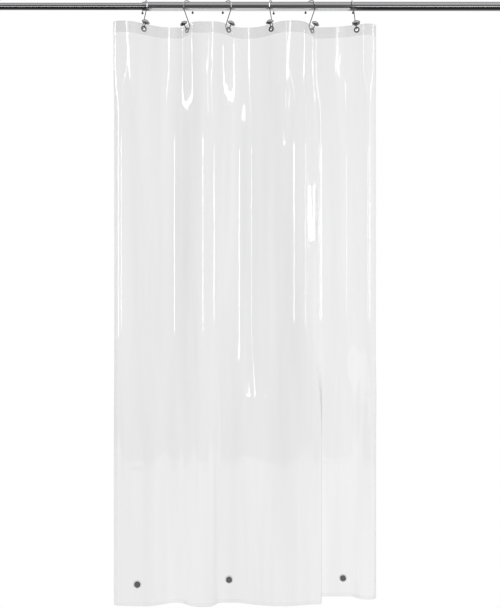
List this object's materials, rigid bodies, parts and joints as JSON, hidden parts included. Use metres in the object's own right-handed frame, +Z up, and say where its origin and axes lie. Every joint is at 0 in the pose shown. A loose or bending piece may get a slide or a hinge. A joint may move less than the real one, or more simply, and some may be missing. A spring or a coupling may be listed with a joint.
{
  "type": "shower curtain",
  "caption": "Clear stall shower curtain with magnet weights, hung by wire S-hooks on a chrome telescopic rod.",
  "frame": {"origin": "centre of the left wall pad's face, on the rod's axis", "axes": "+X along the rod towards the right wall, +Z up, -Y towards the room, from where the curtain is seen"},
  "size_m": [1.7, 0.0776, 1.907],
  "materials": {
    "rod_chrome": "polished",
    "pad_rubber": "matte",
    "core_plastic": "satin",
    "spring_steel": "satin",
    "film": "gloss",
    "header_film": "gloss",
    "hem_film": "gloss",
    "grommet_metal": "polished",
    "hook_chrome": "polished",
    "ball_steel": "satin",
    "knob_metal": "satin",
    "magnet": "satin",
    "pocket_film": "gloss"
  },
  "bodies": {
    "rod_left": {"rod_inner_tube": "rod_chrome", "rod_end_cap_left": "rod_chrome", "wall_pad_left": "pad_rubber"},
    "rod_core": {"rod_expander": "core_plastic", "rod_spring": "spring_steel"},
    "rod_right": {"rod_outer_tube": "rod_chrome", "rod_end_cap_right": "rod_chrome", "wall_pad_right": "pad_rubber", "spring_seat": "core_plastic"},
    "curtain": {"curtain_film": "film", "header_band": "header_film", "side_hem_left": "hem_film", "side_hem_right": "hem_film", "bottom_hem": "hem_film"},
    "hanger_1": {"hook_wire_1": "hook_chrome", "hook_ball_1": "ball_steel", "hook_knob_1": "knob_metal", "grommet_front_1": "grommet_metal", "grommet_back_1": "grommet_metal"},
    "hanger_2": {"hook_wire_2": "hook_chrome", "hook_ball_2": "ball_steel", "hook_knob_2": "knob_metal", "grommet_front_2": "grommet_metal", "grommet_back_2": "grommet_metal"},
    "hanger_3": {"hook_wire_3": "hook_chrome", "hook_ball_3": "ball_steel", "hook_knob_3": "knob_metal", "grommet_front_3": "grommet_metal", "grommet_back_3": "grommet_metal"},
    "hanger_4": {"hook_wire_4": "hook_chrome", "hook_ball_4": "ball_steel", "hook_knob_4": "knob_metal", "grommet_front_4": "grommet_metal", "grommet_back_4": "grommet_metal"},
    "hanger_5": {"hook_wire_5": "hook_chrome", "hook_ball_5": "ball_steel", "hook_knob_5": "knob_metal", "grommet_front_5": "grommet_metal", "grommet_back_5": "grommet_metal"},
    "hanger_6": {"hook_wire_6": "hook_chrome", "hook_ball_6": "ball_steel", "hook_knob_6": "knob_metal", "grommet_front_6": "grommet_metal", "grommet_back_6": "grommet_metal"},
    "weight_1": {"magnet_1": "magnet", "magnet_pocket_1": "pocket_film"},
    "weight_2": {"magnet_2": "magnet", "magnet_pocket_2": "pocket_film"},
    "weight_3": {"magnet_3": "magnet", "magnet_pocket_3": "pocket_film"}
  },
  "joints": [
    {"name": "rod_twist", "type": "hinge", "parent": "rod_left", "child": "rod_core", "pos_m": [0.771, 0, 0], "axis": [1, 0, 0], "continuous": true},
    {"name": "rod_extend", "type": "slide", "parent": "rod_core", "child": "rod_right", "axis": [1, 0, 0], "range_m": [-0.06, 0.15], "deforming": ["rod_spring"]},
    {"name": "swing", "type": "hinge", "parent": "rod_left", "child": "curtain", "pos_m": [0.85, 0, 0], "axis": [1, 0, 0], "range_deg": [-25, 25]},
    {"name": "draw", "type": "slide", "parent": "curtain", "child": "hanger_1", "axis": [1, 0, 0], "range_m": [0, 0.44], "deforming": ["curtain_film", "header_band", "side_hem_left", "side_hem_right", "bottom_hem"]},
    {"name": "draw_hanger_2", "type": "slide", "parent": "curtain", "child": "hanger_2", "axis": [1, 0, 0], "range_m": [0, 0.36]},
    {"name": "draw_hanger_3", "type": "slide", "parent": "curtain", "child": "hanger_3", "axis": [1, 0, 0], "range_m": [0, 0.2808]},
    {"name": "draw_hanger_4", "type": "slide", "parent": "curtain", "child": "hanger_4", "axis": [1, 0, 0], "range_m": [0, 0.2003]},
    {"name": "draw_hanger_5", "type": "slide", "parent": "curtain", "child": "hanger_5", "axis": [1, 0, 0], "range_m": [0, 0.1221]},
    {"name": "draw_hanger_6", "type": "slide", "parent": "curtain", "child": "hanger_6", "axis": [1, 0, 0], "range_m": [0, 0.0384]},
    {"name": "draw_weight_1", "type": "slide", "parent": "curtain", "child": "weight_1", "axis": [1, 0, 0], "range_m": [0, 0.4513]},
    {"name": "draw_weight_2", "type": "slide", "parent": "curtain", "child": "weight_2", "axis": [1, 0, 0], "range_m": [0, 0.2801]},
    {"name": "draw_weight_3", "type": "slide", "parent": "curtain", "child": "weight_3", "axis": [1, 0, 0], "range_m": [0, 0.0607]}
  ],
  "couplings": [
    {"joint": "draw_hanger_2", "follows": "draw", "ratio": 0.81707},
    {"joint": "draw_hanger_3", "follows": "draw", "ratio": 0.63713},
    {"joint": "draw_hanger_4", "follows": "draw", "ratio": 0.454},
    {"joint": "draw_hanger_5", "follows": "draw", "ratio": 0.27626},
    {"joint": "draw_hanger_6", "follows": "draw", "ratio": 0.08618},
    {"joint": "draw_weight_1", "follows": "draw", "ratio": 1.0245},
    {"joint": "draw_weight_2", "follows": "draw", "ratio": 0.63535},
    {"joint": "draw_weight_3", "follows": "draw", "ratio": 0.13678}
  ]
}
